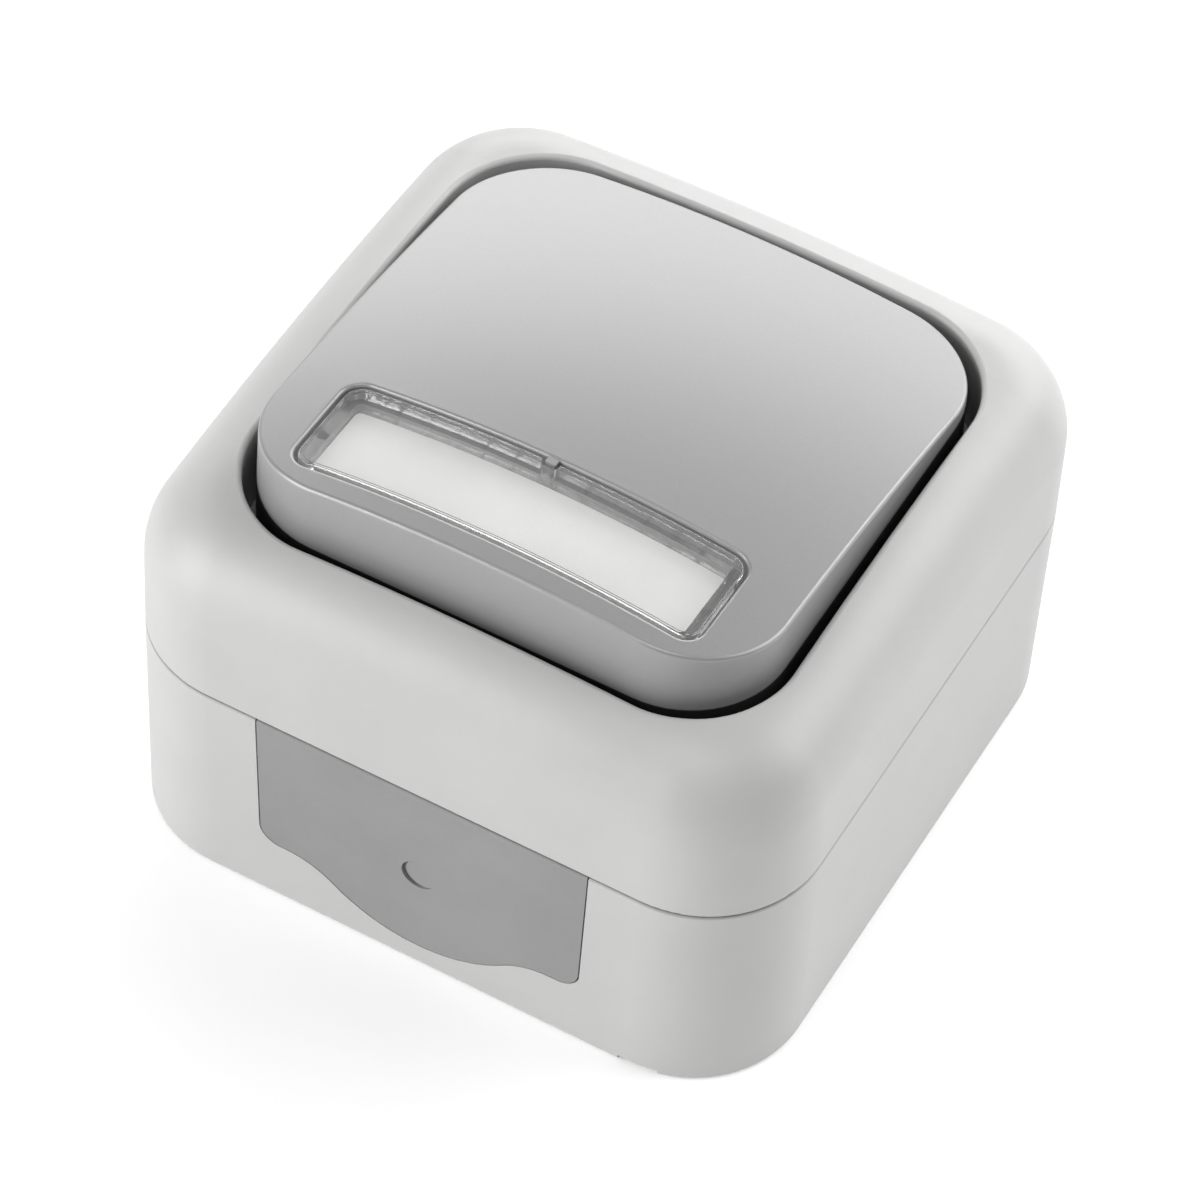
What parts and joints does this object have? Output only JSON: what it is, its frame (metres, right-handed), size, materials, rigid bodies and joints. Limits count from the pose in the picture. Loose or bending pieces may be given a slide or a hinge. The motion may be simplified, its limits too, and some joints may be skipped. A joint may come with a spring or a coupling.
{
  "type": "weatherproof bell push",
  "caption": "Surface-mounted weatherproof bell push: a square box with a domed cover and a wide sloping button with a name window, which tilts to close a push contact.",
  "frame": {"origin": "centre of the back face, on the wall", "axes": "+Z out of the wall towards the user, +Y up the wall, +X to the right; the cable entry faces down the wall, along -Y"},
  "size_m": [0.072, 0.072, 0.0526],
  "materials": {
    "housing_plastic": "fine satin light grey moulding",
    "entry_rubber": "matt mid grey soft plastic",
    "gasket_rubber": "matt black rubber",
    "frame_plastic": "matt dark grey moulding",
    "block_plastic": "matt off-white moulding",
    "terminal_brass": "stamped brass",
    "contact_silver": "silver rivet heads",
    "screw_steel": "plain stainless steel",
    "lever_plastic": "slightly glossy grey moulding",
    "button_lacquer": "satin silver-grey lacquer on plastic",
    "window_clear": "clear polished plastic",
    "card_stock": "plain pale card"
  },
  "bodies": {
    "housing": {"back_box": "housing_plastic", "front_cover": "housing_plastic", "cable_entry_seal": "entry_rubber", "rim_gasket": "gasket_rubber", "well_gasket": "gasket_rubber", "plunger_boot": "gasket_rubber", "mechanism_frame": "frame_plastic", "contact_block": "block_plastic", "terminal_clamp_left": "terminal_brass", "terminal_clamp_right": "terminal_brass", "fixed_contact_left": "terminal_brass", "fixed_contact_right": "terminal_brass", "fixed_contact_tips": "contact_silver", "terminal_screw_left": "screw_steel", "terminal_screw_right": "screw_steel", "cover_screws": "screw_steel", "frame_screws": "screw_steel", "return_spring": "screw_steel"},
    "rocker": {"rocker_cap": "button_lacquer", "label_window": "window_clear", "name_label": "card_stock", "rocker_actuator": "lever_plastic"},
    "push_rod": {"plunger": "lever_plastic", "contact_bridge": "terminal_brass", "moving_contact_tips": "contact_silver"}
  },
  "joints": [
    {"name": "push_tilt", "type": "hinge", "parent": "housing", "child": "rocker", "pos_m": [0, 0, 0.036], "axis": [1, 0, 0], "range_deg": [0, 4.5], "stiffness_Nm_per_rad": 0.6, "springref_deg": -4.58},
    {"name": "plunger_travel", "type": "slide", "parent": "housing", "child": "push_rod", "axis": [0, 0, -1], "range_m": [0, 0.00103], "deforming": ["return_spring", "plunger_boot"]}
  ],
  "couplings": [
    {"joint": "plunger_travel", "follows": "push_tilt", "m_per_rad": 0.013}
  ]
}
